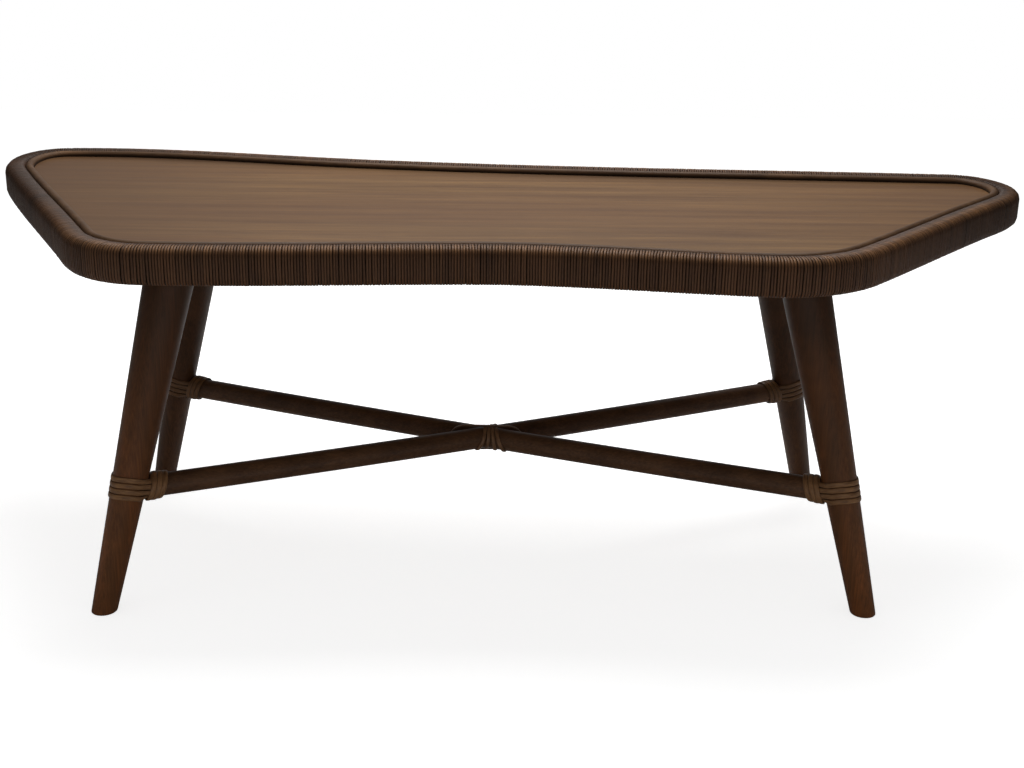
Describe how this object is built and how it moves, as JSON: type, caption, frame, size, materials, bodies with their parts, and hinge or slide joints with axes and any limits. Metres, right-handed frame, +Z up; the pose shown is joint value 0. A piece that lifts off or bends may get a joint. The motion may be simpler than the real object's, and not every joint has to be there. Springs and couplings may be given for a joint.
{
  "type": "coffee table",
  "caption": "Low table with a free-form recessed wood top in a rattan-wound rim, on splayed tapered legs tied by crossed, lashed poles.",
  "frame": {"origin": "on the floor, below the middle of the whole table's length and depth", "axes": "+X along the table's length, to the right of a person in front of it; +Y to the back; +Z up"},
  "size_m": [1.4186, 0.6476, 0.457],
  "materials": {
    "top_veneer": "satin, straight fine grain along the length, worn",
    "panel_plywood": "bare plywood",
    "rim_core_wood": "bare wood, hidden",
    "rim_winding_core": "dark stained round rattan core, wound tightly",
    "rim_bead": "brown stained half-round rattan, satin",
    "leg_wood": "reddish dark brown stain, satin",
    "rail_wood": "plain brown wood, matt",
    "wedge_wood": "bare wood, hidden",
    "pole_wood": "near-black brown stain, satin",
    "lashing_peel": "olive brown flat rattan peel, satin",
    "cross_lashing_peel": "dark brown flat rattan peel, satin",
    "screw_steel": "plain steel"
  },
  "bodies": {
    "root": {"cleat_back_left": "rail_wood", "cleat_back_right": "rail_wood", "cleat_front_left": "rail_wood", "cleat_front_right": "rail_wood", "cleat_left": "rail_wood", "cleat_panel_screw_back_left": "screw_steel", "cleat_panel_screw_back_right": "screw_steel", "cleat_panel_screw_front_left": "screw_steel", "cleat_panel_screw_front_right": "screw_steel", "cleat_panel_screw_left": "screw_steel", "cleat_panel_screw_right": "screw_steel", "cleat_right": "rail_wood", "cleat_rim_screw_back_left": "screw_steel", "cleat_rim_screw_back_right": "screw_steel", "cleat_rim_screw_front_left": "screw_steel", "cleat_rim_screw_front_right": "screw_steel", "cleat_rim_screw_left": "screw_steel", "cleat_rim_screw_right": "screw_steel", "cross_lashing_inner": "cross_lashing_peel", "cross_lashing_outer": "cross_lashing_peel", "inner_bead_back": "rim_bead", "inner_bead_front": "rim_bead", "inner_bead_left": "rim_bead", "inner_bead_right": "rim_bead", "lashing_lower_front_left": "lashing_peel", "lashing_lower_front_right": "lashing_peel", "lashing_lower_rear_left": "lashing_peel", "lashing_lower_rear_right": "lashing_peel", "lashing_upper_front_left": "lashing_peel", "lashing_upper_front_right": "lashing_peel", "lashing_upper_rear_left": "lashing_peel", "lashing_upper_rear_right": "lashing_peel", "leg_front_left": "leg_wood", "leg_front_right": "leg_wood", "leg_rail_left": "rail_wood", "leg_rail_right": "rail_wood", "leg_rear_left": "leg_wood", "leg_rear_right": "leg_wood", "leg_wedge_front_left": "wedge_wood", "leg_wedge_front_right": "wedge_wood", "leg_wedge_rear_left": "wedge_wood", "leg_wedge_rear_right": "wedge_wood", "pole_over": "pole_wood", "pole_under": "pole_wood", "rail_screw_left_1": "screw_steel", "rail_screw_left_2": "screw_steel", "rail_screw_left_3": "screw_steel", "rail_screw_right_1": "screw_steel", "rail_screw_right_2": "screw_steel", "rail_screw_right_3": "screw_steel", "rim_core_back": "rim_core_wood", "rim_core_front": "rim_core_wood", "rim_core_left": "rim_core_wood", "rim_core_right": "rim_core_wood", "rim_winding_back": "rim_winding_core", "rim_winding_front": "rim_winding_core", "rim_winding_left": "rim_winding_core", "rim_winding_right": "rim_winding_core", "top_panel": "panel_plywood", "top_veneer": "top_veneer"}
  },
  "joints": []
}
